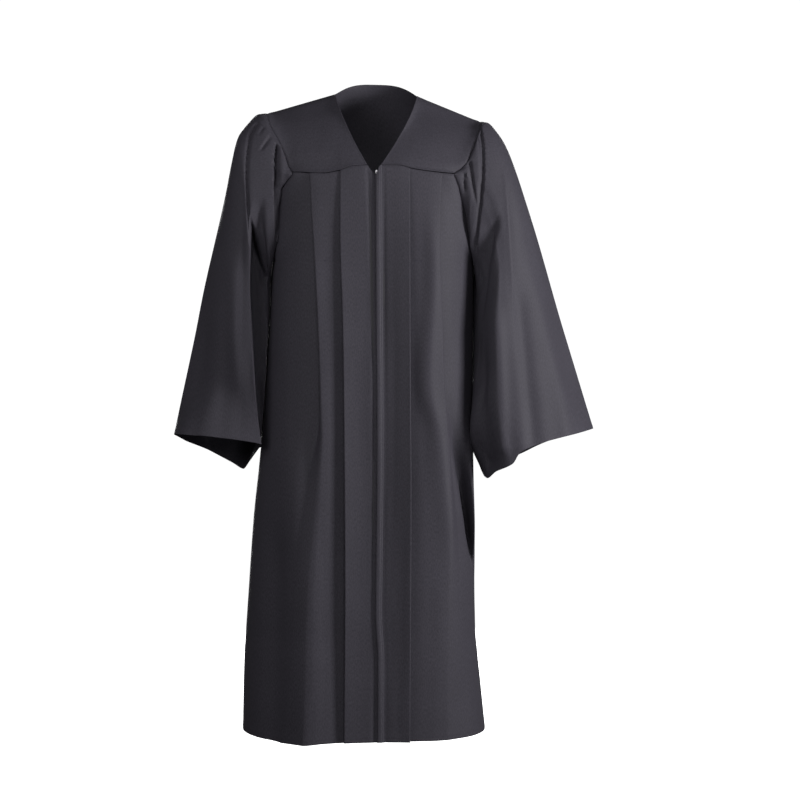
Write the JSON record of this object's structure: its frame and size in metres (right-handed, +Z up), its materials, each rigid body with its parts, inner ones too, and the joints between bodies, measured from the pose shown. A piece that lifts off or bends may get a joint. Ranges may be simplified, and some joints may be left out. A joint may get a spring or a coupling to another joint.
{
  "type": "graduation gown",
  "caption": "Full-length graduation gown held open as worn: square yoke, V neck, knife-pleated fronts over a hidden zip, wide bell sleeves and an open hem.",
  "frame": {"origin": "midway between the two side neck points of the shoulder seams, where the wearer's shoulders carry the gown", "axes": "+X towards the wearer's left, +Y towards the wearer's back, +Z up; the zipped front faces -Y"},
  "size_m": [0.8404, 0.3259, 1.3087],
  "materials": {
    "cloth": "matt dark charcoal polyester",
    "tape": "woven black zip tape",
    "coil": "black polyester coil",
    "metal": "plated zip slider and pull tab"
  },
  "bodies": {
    "root": {"yoke_front_right": "cloth", "yoke_front_left": "cloth", "yoke_back": "cloth", "front_right": "cloth", "front_left": "cloth", "back": "cloth", "sleeve_right": "cloth", "sleeve_left": "cloth", "fly": "cloth", "zip_tape_right": "tape", "zip_tape_left": "tape", "zip_chain": "coil", "zip_slider": "metal", "zip_pull": "metal"}
  },
  "joints": []
}
